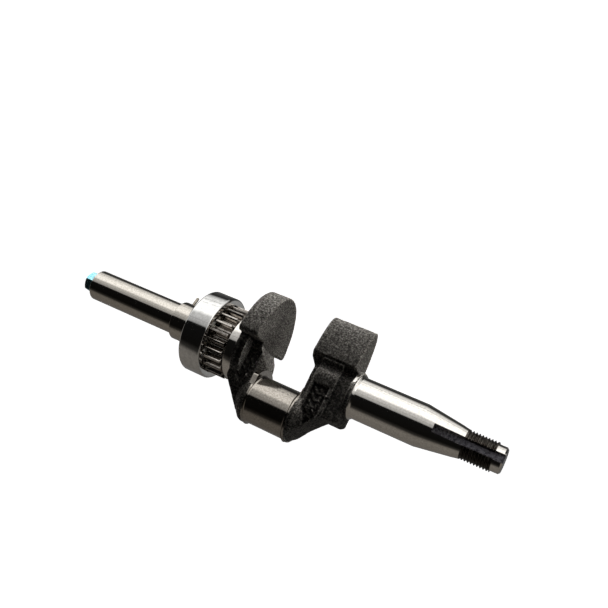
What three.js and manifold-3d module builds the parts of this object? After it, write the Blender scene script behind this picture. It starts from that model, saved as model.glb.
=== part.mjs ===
// Crankshaft of a small single-cylinder engine, with the parts that stay on it when it is lifted out:
// the main ball bearing, the timing gear, a pin in the collar and the bolt in the power take-off end.
// Millimetres. X runs along the main axis, from the power take-off end to the threaded end.
// Y points to the counterweights, so the crankpin lies at -Y and Z stands across the crank throw.
// The origin is on the main axis, half way between the bolt's outer face and the threaded tip.
import * as THREE from "three";
import { mergeVertices } from "three/addons/utils/BufferGeometryUtils.js";
import Module from "manifold-3d";

const wasm = await Module();
wasm.setup();

// ---- Fits
const fitGap = 0.3; // between pieces that touch or hold each other
const roundSides = 40; // sides of a large round
const smallSides = 16; // sides of a small round

// ---- Main bearing, a deep-groove ball bearing of the 25 x 52 x 15 size
const bearingBore = 25;
const bearingOuter = 52;
const bearingWidth = 15;
const ballCount = 9;
const ballDiameter = 7.94;
const ballPitchDiameter = 38.5;
const shoulderHeight = 1.5; // how far a race's shoulder stands over the bottom of its groove
const bearingChamfer = 1;
const cageSheet = 0.8;
const cageSideGap = 0.45; // from the cage to each race's shoulder
const rivetDiameter = 1.3;
const rivetHeadDiameter = 2.1;
const rivetHeadHeight = 0.5;
const rivetCrownDiameter = 1.26;

// ---- Shaft, from the power take-off end to the threaded end
const ptoDiameter = 20;
const ptoLength = 67.4;
const ptoChamfer = 1.4;
const collarLength = 18.5; // from the shoulder on the take-off shaft to the bearing
const gearHubDiameter = 27; // seat of the timing gear
const journalDiameter = 25;
const journalLength = 39.3;
const taperLength = 24.9;
const taperEndDiameter = 17.6;
const threadDiameter = 17;
const threadLength = 17.4;
const tipDiameter = 15.2;
const tipLength = 5.4;
const tipChamfer = 1;
const keywayWidth = 5;
const keywayDepth = 3.4; // below the small end of the taper
const keywaySetback = 8.2; // from the start of the taper

// ---- Crank throw
const throwRadius = 25; // half of the 50 mm stroke
const pinDiameter = 29;
const pinLength = 27.5; // between the two webs
const rodCheekDiameter = 37; // machined face beside the crankpin
const rodCheekHeight = 0.6;
const pinEndMargin = 0.8; // web beyond the crankpin
const pinEndRim = 3; // straight rim of the web's round end, before its back slopes in
const counterweightRadius = 39;
const webShoulderDiameter = 41; // machined shoulder behind the timing gear
const webShoulderWidth = 5.6;
const webShoulderChamfer = 0.8;
const leftWeightThickness = 13;
const leftWeightHalfWidth = 27;
const leftWeightHeel = 5.5; // height over the main axis where the counterweight ends
const leftArmStep = 6; // from the counterweight's inner face to the arm's
const leftWedgeRise = 16.5; // how far the outer face slopes in over the pin's end
const rightWeightThickness = 28;
const rightWeightHalfWidth = 12;
const rightWeightHeel = 13;
const rightArmStep = 4.5; // from the counterweight's inner face to the arm's
const rightArmThickness = 17;
const rightHubStep = 3.4; // from the counterweight's outer face to the hub's
const hubRadius = 20; // the hub's lower edge, on the crankpin's side
const hubHalfWidth = 10;
const hubFootHalfWidth = 7.5;
const armHalfWidth = 12;
const armFootHalfWidth = 7;
const armEdgeSlope = 5; // width lost along each edge of the arm's inner face
const armEdgeDepth = 3.5; // how far back that slope runs
const armFootReach = 10.7; // from the crankpin's middle to the arm's flat foot
const forgingRadius = 2; // rounding of the forged edges
const journalShoulderDiameter = 29;
const journalShoulderWidth = 1.8;

// ---- Timing gear
const gearModule = 1.75;
const gearTeeth = 23;
const gearWidth = 11.9;
const toothTipLand = 0.225; // share of a pitch taken up by a tooth at its tip
const toothPitchLand = 0.5; // share of a pitch taken up by a tooth on the pitch circle
const toothRootLand = 0.75; // share of a pitch taken up by a tooth at its root
const toothRootDepth = 1.25; // below the pitch circle, in modules

// ---- Pin in the collar
const collarPinDiameter = 2;
const collarPinInset = 1.7; // from the collar's outer end
const collarPinTip = 19.1; // height over the main axis
const collarPinDepth = 6;
const collarPinTurn = -14.6; // degrees from +Y towards +Z

// ---- Bolt in the power take-off end
const boltDiameter = 8;
const boltAcrossFlats = 12;
const boltHeadHeight = 6.5;
const boltLength = 22;
const boltPointChamfer = 1;
const boltCrownDish = 0.37; // from the hexagon's flats in to the crown's flat

// ---- Stations along X, counted from the threaded side's face of the bearing, then centred
const bearingRight = 0;
const bearingLeft = bearingRight - bearingWidth;
const collarLeft = bearingLeft - collarLength;
const ptoEnd = collarLeft - ptoLength;
const boltFace = ptoEnd - fitGap - boltHeadHeight;
const gearLeft = bearingRight + fitGap;
const gearRight = gearLeft + gearWidth;
const webShoulderLeft = gearRight + fitGap;
const leftWeightLeft = webShoulderLeft + webShoulderWidth;
const leftWeightRight = leftWeightLeft + leftWeightThickness;
const leftArmRight = leftWeightRight + leftArmStep;
const rightArmLeft = leftArmRight + pinLength;
const rightWeightLeft = rightArmLeft - rightArmStep;
const rightWeightRight = rightWeightLeft + rightWeightThickness;
const rightArmRight = rightArmLeft + rightArmThickness;
const hubRight = rightWeightRight + rightHubStep;
const journalLeft = hubRight + journalShoulderWidth;
const taperLeft = journalLeft + journalLength;
const threadLeft = taperLeft + taperLength;
const tipLeft = threadLeft + threadLength;
const tipEnd = tipLeft + tipLength;
const originX = (boltFace + tipEnd) / 2;

// ---- Sizes that follow from the ones above
const pinRadius = pinDiameter / 2;
const seatRadius = bearingBore / 2 - fitGap;
const endReach = pinRadius + pinEndMargin;
const pinEndRadius = throwRadius + endReach;
const ballPitchRadius = ballPitchDiameter / 2;
const bearingMiddle = (bearingLeft + bearingRight) / 2;
const grooveRadius = ballDiameter / 2 + fitGap;
const innerShoulderRadius = ballPitchRadius - ballDiameter / 2 + shoulderHeight;
const outerShoulderRadius = ballPitchRadius + ballDiameter / 2 - shoulderHeight;

// ---------------------------------------------------------------- solids

// A geometry keeps only its merged corner points, and becomes a solid that can be joined and cut.
function solid(geometry) {
  const bare = geometry.index ? geometry.toNonIndexed() : geometry.clone();
  bare.deleteAttribute("normal");
  bare.deleteAttribute("uv");
  const merged = mergeVertices(bare, 1e-5);
  const vertProperties = new Float32Array(merged.attributes.position.array);
  const triVerts = new Uint32Array(merged.index.array);
  return new wasm.Manifold(new wasm.Mesh({ numProp: 3, vertProperties, triVerts }));
}

function geometryOf(manifold) {
  const mesh = manifold.getMesh();
  const geometry = new THREE.BufferGeometry();
  geometry.setAttribute("position", new THREE.BufferAttribute(mesh.vertProperties, mesh.numProp));
  geometry.setIndex(new THREE.BufferAttribute(mesh.triVerts, 1));
  geometry.computeVertexNormals();
  return geometry;
}

// A profile of [x, radius] points, turned round the X axis.
function turned(profile, sides = roundSides) {
  const points = profile.map(([x, r]) => new THREE.Vector2(r, x));
  return new THREE.LatheGeometry(points, sides).rotateZ(-Math.PI / 2);
}

function turnedSolid(profile, sides) {
  return solid(turned(profile, sides));
}

// An outline in the XY plane, drawn through z from -half to +half.
function acrossZ(points, half) {
  const shape = new THREE.Shape(points.map(([x, y]) => new THREE.Vector2(x, y)));
  const options = { depth: 2 * half, bevelEnabled: false };
  return new THREE.ExtrudeGeometry(shape, options).translate(0, 0, -half);
}

// A shape across the axis, drawn along X from x0 to x1. Its own x runs to -Z, and its own y to +Y.
function alongX(shape, x0, x1, curveSegments = 10) {
  const options = { depth: x1 - x0, bevelEnabled: false, curveSegments };
  const geometry = new THREE.ExtrudeGeometry(shape, options);
  return geometry.rotateY(Math.PI / 2).translate(x0, 0, 0);
}

// An outline of [x, z] points, drawn along Y from y0 to y1.
function alongY(points, y0, y1) {
  const shape = new THREE.Shape(points.map(([x, z]) => new THREE.Vector2(x, z)));
  const options = { depth: y1 - y0, bevelEnabled: false };
  return new THREE.ExtrudeGeometry(shape, options).rotateX(-Math.PI / 2).translate(0, y0, 0);
}

// ---------------------------------------------------------------- crankshaft

// The counterweight's outline across the axis: an upright half ellipse, cut straight at its heels.
function archShape(halfWidth, heel) {
  const shape = new THREE.Shape();
  const low = forgingRadius;
  const rise = counterweightRadius - low;
  const start = Math.asin((Math.max(heel, low) - low) / rise);
  const edge = halfWidth * Math.cos(start);
  shape.moveTo(-edge + forgingRadius, heel - forgingRadius);
  shape.lineTo(edge - forgingRadius, heel - forgingRadius);
  shape.lineTo(edge, heel);
  shape.absellipse(0, low, halfWidth, rise, start, Math.PI - start, false, 0);
  shape.closePath();
  return shape;
}

// The arm's outline across the axis, narrowing towards the crankpin's end.
function armShape(top, halfWidth, footHalfWidth, foot) {
  const shape = new THREE.Shape();
  const shoulder = -hubRadius + 1;
  shape.moveTo(halfWidth, top);
  shape.lineTo(-halfWidth, top);
  shape.lineTo(-halfWidth, shoulder);
  shape.lineTo(-footHalfWidth, foot);
  shape.lineTo(footHalfWidth, foot);
  shape.lineTo(halfWidth, shoulder);
  shape.closePath();
  return shape;
}

// One arm, from its inner face to its back and up to its top. Its inner edges slope away, and its end
// about the crankpin is a short rim whose back falls off as a cone.
function arm(face, back, top) {
  const side = Math.sign(back - face);
  const foot = -throwRadius - armFootReach;
  const across = solid(
    alongX(
      armShape(top, armHalfWidth, armFootHalfWidth, foot),
      Math.min(face, back),
      Math.max(face, back),
    ),
  );
  const edge = face + side * armEdgeDepth;
  const slopes = solid(
    alongY(
      [
        [face, armHalfWidth - armEdgeSlope],
        [edge, armHalfWidth + fitGap],
        [back, armHalfWidth + fitGap],
        [back, -armHalfWidth - fitGap],
        [edge, -armHalfWidth - fitGap],
        [face, -armHalfWidth + armEdgeSlope],
      ],
      foot - 1,
      top + 1,
    ),
  );
  const rim = face + side * pinEndRim;
  const apex = rim + side * endReach;
  const profile = [
    [face, 0],
    [face, endReach],
    [rim, endReach],
    [apex, 0],
  ];
  const end = turnedSolid(side > 0 ? profile : profile.reverse()).translate([0, -throwRadius, 0]);
  return across.intersect(slopes).add(end);
}

function leftWeb() {
  const arch = archShape(leftWeightHalfWidth, leftWeightHeel + forgingRadius);
  const weight = solid(alongX(arch, leftWeightLeft, leftWeightRight));
  const side = solid(
    acrossZ(
      [
        [leftWeightLeft, counterweightRadius],
        [leftWeightLeft, -hubRadius],
        [leftWeightLeft + leftWedgeRise, -pinEndRadius],
        [leftArmRight, -pinEndRadius],
        [leftArmRight, -leftArmStep],
        [leftWeightRight, leftWeightHeel - forgingRadius],
        [leftWeightRight, counterweightRadius],
      ],
      leftWeightHalfWidth + 1,
    ),
  );
  return weight.add(arm(leftArmRight, leftWeightLeft, leftWeightHeel)).intersect(side);
}

function rightWeb() {
  const arch = archShape(rightWeightHalfWidth, rightWeightHeel);
  const weight = solid(alongX(arch, rightWeightLeft, rightWeightRight));
  const neck = rightWeightHeel + forgingRadius;
  const hub = armShape(neck, hubHalfWidth, hubFootHalfWidth, -hubRadius - 1);
  const side = solid(
    acrossZ(
      [
        [rightWeightLeft, neck],
        [rightWeightLeft, rightWeightHeel - forgingRadius],
        [rightArmLeft, leftWeightHeel],
        [rightArmLeft, -hubRadius],
        [hubRight - forgingRadius, -hubRadius],
        [hubRight, -hubRadius + forgingRadius],
        [hubRight, leftWeightHeel + rightHubStep],
        [rightWeightRight, neck],
      ],
      hubHalfWidth + 1,
    ),
  );
  const body = solid(alongX(hub, rightWeightLeft, hubRight)).intersect(side);
  const wedge = solid(
    acrossZ(
      [
        [rightWeightLeft, neck],
        [rightWeightLeft, -pinEndRadius - 1],
        [rightArmLeft + pinEndRim / 2, -pinEndRadius - 1],
        [rightArmLeft + pinEndRim / 2, -pinEndRadius + pinEndRim],
        [rightArmRight - forgingRadius, -hubRadius - 1],
        [rightArmRight + 1, -hubRadius + forgingRadius],
        [rightArmRight + 1, neck],
      ],
      endReach + 1,
    ),
  );
  const crankArm = arm(rightArmLeft, rightArmRight, rightWeightHeel - 1).intersect(wedge);
  return weight.add(body).add(crankArm);
}

// Turned about the main axis: the take-off shaft, the collar, the seats and the web's shoulder.
function leftShaft() {
  const rise = seatRadius - ptoDiameter / 2;
  return turnedSolid([
    [ptoEnd, 0],
    [ptoEnd, ptoDiameter / 2 - ptoChamfer],
    [ptoEnd + ptoChamfer, ptoDiameter / 2],
    [collarLeft - rise / 2, ptoDiameter / 2],
    [collarLeft + rise / 2, seatRadius],
    [bearingRight + fitGap, seatRadius],
    [bearingRight + fitGap, gearHubDiameter / 2 - fitGap],
    [webShoulderLeft, gearHubDiameter / 2 - fitGap],
    [webShoulderLeft, webShoulderDiameter / 2 - webShoulderChamfer],
    [webShoulderLeft + webShoulderChamfer, webShoulderDiameter / 2],
    [leftWeightLeft + leftWeightThickness / 2, webShoulderDiameter / 2],
    [leftWeightLeft + leftWeightThickness / 2, 0],
  ]);
}

// The journal, the taper, the thread and the tip.
function rightShaft() {
  return turnedSolid([
    [hubRight - journalShoulderWidth, 0],
    [hubRight - journalShoulderWidth, journalShoulderDiameter / 2],
    [journalLeft, journalShoulderDiameter / 2],
    [journalLeft, journalDiameter / 2 + forgingRadius / 2],
    [journalLeft + forgingRadius / 2, journalDiameter / 2],
    [taperLeft, journalDiameter / 2],
    [threadLeft, taperEndDiameter / 2],
    [threadLeft, threadDiameter / 2],
    [tipLeft, threadDiameter / 2],
    [tipLeft + tipChamfer / 2, tipDiameter / 2],
    [tipEnd - tipChamfer, tipDiameter / 2],
    [tipEnd, tipDiameter / 2 - tipChamfer],
    [tipEnd, 0],
  ]);
}

// The crankpin, with the machined cheeks beside it, clipped to the arms.
function crankpin() {
  const fillet = forgingRadius / 2;
  const inner = leftArmRight + rodCheekHeight;
  const outer = rightArmLeft - rodCheekHeight;
  const pin = turnedSolid([
    [leftArmRight - 1, 0],
    [leftArmRight - 1, rodCheekDiameter / 2],
    [inner, rodCheekDiameter / 2],
    [inner, pinRadius + fillet],
    [inner + fillet, pinRadius],
    [outer - fillet, pinRadius],
    [outer, pinRadius + fillet],
    [outer, rodCheekDiameter / 2],
    [rightArmLeft + 1, rodCheekDiameter / 2],
    [rightArmLeft + 1, 0],
  ]).translate([0, -throwRadius, 0]);
  const rim = turnedSolid([
    [leftArmRight - forgingRadius, 0],
    [leftArmRight - forgingRadius, endReach - fitGap],
    [rightArmLeft + forgingRadius, endReach - fitGap],
    [rightArmLeft + forgingRadius, 0],
  ]).translate([0, -throwRadius, 0]);
  const cheeks = armShape(0, armHalfWidth - armEdgeSlope / 2, armFootHalfWidth, -throwRadius);
  const clip = solid(alongX(cheeks, leftArmRight - forgingRadius, rightArmLeft + forgingRadius));
  return pin.intersect(clip.add(rim));
}

function keyway() {
  const start = taperLeft + keywaySetback;
  const slot = new THREE.BoxGeometry(tipEnd - start + 1, keywayWidth, journalDiameter / 2);
  const floor = threadDiameter / 2 - keywayDepth;
  return solid(slot.translate((tipEnd + start + 1) / 2, 0, floor + journalDiameter / 4));
}

function boltHole() {
  const radius = boltDiameter / 2 + fitGap;
  return turnedSolid(
    [
      [ptoEnd - 1, 0],
      [ptoEnd - 1, radius],
      [ptoEnd + boltLength + 1, radius],
      [ptoEnd + boltLength + 1 + radius / 2, 0],
    ],
    smallSides,
  );
}

// A rod that stands across the main axis where the collar's pin sits, from one height to another.
function collarRod(radius, from, to) {
  const rod = turned(
    [
      [from, 0],
      [from, radius],
      [to - radius / 2, radius],
      [to, radius / 2],
      [to, 0],
    ],
    smallSides,
  );
  const angle = THREE.MathUtils.degToRad(collarPinTurn);
  return rod.rotateZ(Math.PI / 2).rotateX(angle).translate(collarLeft + collarPinInset, 0, 0);
}

function collarPin() {
  return collarRod(collarPinDiameter / 2, seatRadius - collarPinDepth + fitGap, collarPinTip);
}

function crankshaft() {
  const joined = leftWeb().add(rightWeb()).add(crankpin()).add(leftShaft()).add(rightShaft());
  const pinHole = solid(
    collarRod(collarPinDiameter / 2 + fitGap, seatRadius - collarPinDepth, seatRadius + collarPinDepth),
  );
  return geometryOf(joined.subtract(keyway()).subtract(boltHole()).subtract(pinHole));
}

// ---------------------------------------------------------------- main bearing

// Points of a ball groove in a race, from one shoulder to the other. side is -1 in the inner race.
function groovePoints(shoulderRadius, side, steps = 6) {
  const rise = side * (shoulderRadius - ballPitchRadius);
  const reach = Math.acos(rise / grooveRadius);
  const points = [];
  for (let i = 0; i <= steps; i += 1) {
    const angle = reach * (1 - (2 * i) / steps);
    const x = bearingMiddle + grooveRadius * Math.sin(angle);
    points.push([x, ballPitchRadius + side * grooveRadius * Math.cos(angle)]);
  }
  return points;
}

function outerRing() {
  const radius = bearingOuter / 2;
  const profile = [
    [bearingLeft, outerShoulderRadius],
    [bearingLeft, radius - bearingChamfer],
    [bearingLeft + bearingChamfer, radius],
    [bearingRight - bearingChamfer, radius],
    [bearingRight, radius - bearingChamfer],
    [bearingRight, outerShoulderRadius],
    ...groovePoints(outerShoulderRadius, 1),
    [bearingLeft, outerShoulderRadius],
  ];
  return turned(profile);
}

function innerRing() {
  const radius = bearingBore / 2;
  const profile = [
    [bearingLeft, radius],
    [bearingLeft, innerShoulderRadius],
    ...groovePoints(innerShoulderRadius, -1).reverse(),
    [bearingRight, innerShoulderRadius],
    [bearingRight, radius],
    [bearingLeft, radius],
  ];
  return turned(profile);
}

function ball() {
  return new THREE.SphereGeometry(ballDiameter / 2, 14, 8);
}

function aroundBearing(index, half = 0) {
  const angle = (2 * Math.PI * (index + half)) / ballCount;
  return [ballPitchRadius * Math.sin(angle), ballPitchRadius * Math.cos(angle)];
}

// One pressed half of the ball cage: flat lands between the balls and a cup over each of them.
function cageHalf(side) {
  const low = innerShoulderRadius + cageSideGap;
  const high = outerShoulderRadius - cageSideGap;
  const near = bearingMiddle + (side * fitGap) / 2;
  const land = near + side * cageSheet;
  const far = near + side * bearingWidth;
  const ring = (from, to) => {
    const [x0, x1] = [Math.min(from, to), Math.max(from, to)];
    const profile = [[x0, low], [x0, high], [x1, high], [x1, low], [x0, low]];
    return turnedSolid(profile);
  };
  let cups = null;
  let pockets = null;
  for (let i = 0; i < ballCount; i += 1) {
    const [y, z] = aroundBearing(i);
    const cup = new THREE.SphereGeometry(ballDiameter / 2 + fitGap + cageSheet, 12, 8);
    const pocket = new THREE.SphereGeometry(ballDiameter / 2 + fitGap, 12, 8);
    const outside = solid(cup.translate(bearingMiddle, y, z));
    const inside = solid(pocket.translate(bearingMiddle, y, z));
    cups = cups ? cups.add(outside) : outside;
    pockets = pockets ? pockets.add(inside) : inside;
  }
  const body = ring(near, land).add(cups.intersect(ring(near, far)));
  let holes = null;
  for (let i = 0; i < ballCount; i += 1) {
    const [y, z] = aroundBearing(i, 0.5);
    const drill = turned(
      [
        [bearingMiddle - ballDiameter / 2, 0],
        [bearingMiddle - ballDiameter / 2, rivetDiameter / 2 + fitGap],
        [bearingMiddle + ballDiameter / 2, rivetDiameter / 2 + fitGap],
        [bearingMiddle + ballDiameter / 2, 0],
      ],
      8,
    );
    const hole = solid(drill.translate(0, y, z));
    holes = holes ? holes.add(hole) : hole;
  }
  return geometryOf(body.subtract(pockets).subtract(holes));
}

function rivet() {
  const inside = fitGap / 2 + cageSheet + fitGap;
  const outside = inside + rivetHeadHeight;
  return turned(
    [
      [-outside, 0],
      [-outside, rivetCrownDiameter / 2],
      [-inside, rivetHeadDiameter / 2],
      [-inside, rivetDiameter / 2],
      [inside, rivetDiameter / 2],
      [inside, rivetHeadDiameter / 2],
      [outside, rivetCrownDiameter / 2],
      [outside, 0],
    ],
    8,
  );
}

// ---------------------------------------------------------------- parts beside the bearing

function timingGear() {
  const pitchRadius = (gearModule * gearTeeth) / 2;
  const tip = pitchRadius + gearModule;
  const root = pitchRadius - toothRootDepth * gearModule;
  const pitchAngle = (2 * Math.PI) / gearTeeth;
  const shape = new THREE.Shape();
  for (let tooth = 0; tooth < gearTeeth; tooth += 1) {
    const corners = [
      [root, -toothRootLand / 2],
      [pitchRadius, -toothPitchLand / 2],
      [tip, -toothTipLand / 2],
      [tip, toothTipLand / 2],
      [pitchRadius, toothPitchLand / 2],
      [root, toothRootLand / 2],
    ];
    for (const [radius, share] of corners) {
      const angle = (tooth + share) * pitchAngle;
      const place = [radius * Math.sin(angle), radius * Math.cos(angle)];
      if (tooth === 0 && share === corners[0][1]) {
        shape.moveTo(...place);
      } else {
        shape.lineTo(...place);
      }
    }
  }
  shape.closePath();
  const bore = turnedSolid([
    [gearLeft - 1, 0],
    [gearLeft - 1, gearHubDiameter / 2],
    [gearRight + 1, gearHubDiameter / 2],
    [gearRight + 1, 0],
  ]);
  return geometryOf(solid(alongX(shape, gearLeft, gearRight)).subtract(bore));
}

function ptoBolt() {
  const corner = boltAcrossFlats / Math.sqrt(3);
  const hexagon = new THREE.Shape();
  for (let i = 0; i < 6; i += 1) {
    const angle = (i * Math.PI) / 3;
    const place = [corner * Math.cos(angle), corner * Math.sin(angle)];
    if (i === 0) {
      hexagon.moveTo(...place);
    } else {
      hexagon.lineTo(...place);
    }
  }
  hexagon.closePath();
  const headEnd = boltFace + boltHeadHeight;
  const chamfer = corner - boltAcrossFlats / 2;
  const crown = turnedSolid([
    [boltFace, 0],
    [boltFace, boltAcrossFlats / 2 - boltCrownDish],
    [boltFace + chamfer, corner + 0.1],
    [headEnd, corner + 0.1],
    [headEnd, 0],
  ]);
  const shank = turnedSolid(
    [
      [headEnd - 1, 0],
      [headEnd - 1, boltDiameter / 2],
      [ptoEnd + boltLength - boltPointChamfer, boltDiameter / 2],
      [ptoEnd + boltLength, boltDiameter / 2 - boltPointChamfer],
      [ptoEnd + boltLength, 0],
    ],
    smallSides,
  );
  return geometryOf(solid(alongX(hexagon, boltFace, headEnd)).intersect(crown).add(shank));
}

// ---------------------------------------------------------------- assembly

const finishes = {
  forging: { color: 0x4a4540, roughness: 0.55, metalness: 0.8 },
  bearingSteel: { color: 0xc9c6c2, roughness: 0.15, metalness: 1 },
  ball: { color: 0xd8d8d8, roughness: 0.08, metalness: 1 },
  cage: { color: 0xa8a49c, roughness: 0.4, metalness: 1 },
  gear: { color: 0x8a8480, roughness: 0.25, metalness: 1 },
  pin: { color: 0x6a6660, roughness: 0.4, metalness: 1 },
  bolt: { color: 0x4fb4cc, roughness: 0.3, metalness: 0.9 },
};

const group = new THREE.Group();
const centred = new THREE.Group();
centred.position.x = -originX;
group.add(centred);

function place(name, geometry, finish, at = [0, 0, 0]) {
  const mesh = new THREE.Mesh(geometry, new THREE.MeshStandardMaterial(finishes[finish]));
  mesh.name = name;
  mesh.position.set(...at);
  centred.add(mesh);
}

place("crankshaft", crankshaft(), "forging");
place("bearing_outer_ring", outerRing(), "bearingSteel");
place("bearing_inner_ring", innerRing(), "bearingSteel");
place("bearing_cage_left", cageHalf(-1), "cage");
place("bearing_cage_right", cageHalf(1), "cage");
for (let i = 0; i < ballCount; i += 1) {
  place(`bearing_ball_${i + 1}`, ball(), "ball", [bearingMiddle, ...aroundBearing(i)]);
  place(`cage_rivet_${i + 1}`, rivet(), "cage", [bearingMiddle, ...aroundBearing(i, 0.5)]);
}
place("timing_gear", timingGear(), "gear");
place("collar_pin", collarPin(), "pin");
place("pto_bolt", ptoBolt(), "bolt");

export default group;
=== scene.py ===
import math
import bmesh
import bpy
import numpy as np
from mathutils import Matrix, Vector


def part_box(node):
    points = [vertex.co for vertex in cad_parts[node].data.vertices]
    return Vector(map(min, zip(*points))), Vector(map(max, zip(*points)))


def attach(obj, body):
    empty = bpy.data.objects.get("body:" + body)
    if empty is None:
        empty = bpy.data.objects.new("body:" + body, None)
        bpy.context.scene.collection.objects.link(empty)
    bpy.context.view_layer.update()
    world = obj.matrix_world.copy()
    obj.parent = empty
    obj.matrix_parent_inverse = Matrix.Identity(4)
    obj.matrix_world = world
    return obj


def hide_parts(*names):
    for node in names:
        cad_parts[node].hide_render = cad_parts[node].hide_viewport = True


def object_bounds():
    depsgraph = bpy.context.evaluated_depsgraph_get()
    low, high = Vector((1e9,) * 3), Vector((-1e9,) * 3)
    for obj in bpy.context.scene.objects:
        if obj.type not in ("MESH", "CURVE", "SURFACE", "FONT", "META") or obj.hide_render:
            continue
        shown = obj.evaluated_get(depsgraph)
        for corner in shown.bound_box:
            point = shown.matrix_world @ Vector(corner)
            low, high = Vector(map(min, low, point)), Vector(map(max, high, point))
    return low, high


# Crankshaft of a small engine, lying on its side: X is the main axis, Y points to the counterweights.
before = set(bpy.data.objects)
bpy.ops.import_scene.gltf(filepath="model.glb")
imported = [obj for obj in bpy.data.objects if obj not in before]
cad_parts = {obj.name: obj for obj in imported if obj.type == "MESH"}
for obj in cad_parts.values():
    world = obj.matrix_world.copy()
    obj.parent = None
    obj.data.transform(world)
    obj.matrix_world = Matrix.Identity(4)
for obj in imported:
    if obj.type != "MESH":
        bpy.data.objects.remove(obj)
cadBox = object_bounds()
mm = 0.001
ringLow, ringHigh = (np.array(corner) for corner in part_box("bearing_outer_ring"))
gearLow, gearHigh = (np.array(corner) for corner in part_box("timing_gear"))
boltLow, boltHigh = (np.array(corner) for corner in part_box("pto_bolt"))
shaftLow, shaftHigh = (np.array(corner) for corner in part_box("crankshaft"))
startX = ringHigh[0] / mm  # the bearing's inner side, from which stations along the shaft count
print("frame loaded")


# ---- small tools
def linear(hexValue):
    # sRGB hex to linear: the curve's power part above the toe, the straight part below
    channels = np.array([int(hexValue[i:i + 2], 16) for i in (1, 3, 5)]) / 255
    straight = channels / 12.92
    curved = ((channels + 0.055) / 1.055) ** 2.4
    return (*np.where(channels <= 0.04045, straight, curved), 1.0)


def addNode(tree, kind, settings=None, links=None):
    # settings name attributes or sockets of the new node, links go from its input to another's output
    made = tree.nodes.new(kind)
    for name, value in (settings or {}).items():
        if isinstance(name, str) and hasattr(made, name):
            setattr(made, name, value)
        else:
            made.inputs[name].default_value = value
    for name, source in (links or {}).items():
        tree.links.new(source, made.inputs[name])
    return made


def rampStops(ramp, stops):
    # stops are (position, grey or colour)
    elements = ramp.color_ramp.elements
    while len(elements) < len(stops):
        elements.new(0.5)
    for element, (position, value) in zip(elements, stops):
        element.position = position
        element.color = value if isinstance(value, tuple) else (value, value, value, 1)


def gridMesh(name, points, wrapRows=False, sharp=35):
    # Quads between neighbouring rows and columns of points, in millimetres. Each row is a closed ring.
    # The last row joins the first, or else the two ends get one flat face each.
    rows, columns = points.shape[:2]
    here = np.arange(rows * columns).reshape(rows, columns)
    beside = np.roll(here, -1, 1)
    if wrapRows:
        quads = np.stack([here, beside, np.roll(beside, -1, 0), np.roll(here, -1, 0)], -1)
    else:
        quads = np.stack([here[:-1], beside[:-1], beside[1:], here[1:]], -1)
    faces = quads.reshape(-1, 4).tolist()
    if not wrapRows:
        faces += [here[0, ::-1].tolist(), here[-1].tolist()]
    mesh = bpy.data.meshes.new(name)
    mesh.from_pydata((points.reshape(-1, 3) * mm).tolist(), [], faces)
    return finishMesh(name, mesh, sharp)


def finishMesh(name, mesh, sharp):
    # Smooth shading, with an edge kept sharp where its two faces meet at more than so many degrees.
    mesh.update()
    mesh.polygons.foreach_set("use_smooth", np.ones(len(mesh.polygons), dtype=bool))
    mesh.set_sharp_from_angle(angle=math.radians(sharp))
    made = bpy.data.objects.new(name, mesh)
    bpy.context.collection.objects.link(made)
    return made


def softProfile(points, radius=0.25, steps=4):
    # Each corner becomes a quadratic bend between the points one radius before and after it, which lie
    # never more than 0.45 of the way to the next corner.
    points = np.array(points, dtype=float)
    before, corner, after = points[:-2], points[1:-1], points[2:]
    reachIn = np.linalg.norm(before - corner, axis=1, keepdims=True)
    reachOut = np.linalg.norm(after - corner, axis=1, keepdims=True)
    start = corner + (before - corner) / reachIn * np.minimum(radius, reachIn * 0.45)
    end = corner + (after - corner) / reachOut * np.minimum(radius, reachOut * 0.45)
    t = np.linspace(0, 1, steps)[None, :, None]
    bends = (1 - t) ** 2 * start[:, None] + 2 * t * (1 - t) * corner[:, None] + t ** 2 * end[:, None]
    return np.concatenate([points[:1], bends.reshape(-1, 2), points[-1:]])


def turnedGrid(profile, sides=128, centre=(0.0, 0.0)):
    # Profile of (x, radius) carried round the main axis: y = radius cos(angle), z = radius sin(angle).
    angle = np.linspace(0, 2 * math.pi, sides, endpoint=False)
    x = np.repeat(profile[:, :1], sides, axis=1)
    y = profile[:, 1:] * np.cos(angle) + centre[0]
    z = profile[:, 1:] * np.sin(angle) + centre[1]
    return np.stack([x + startX, y, z], -1)


def dress(piece, material, body, node):
    # Gives a piece its material and the body that it moves with, and hides the node that it stands for.
    piece.data.materials.clear()
    piece.data.materials.append(material)
    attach(piece, body)
    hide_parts(node)


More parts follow.
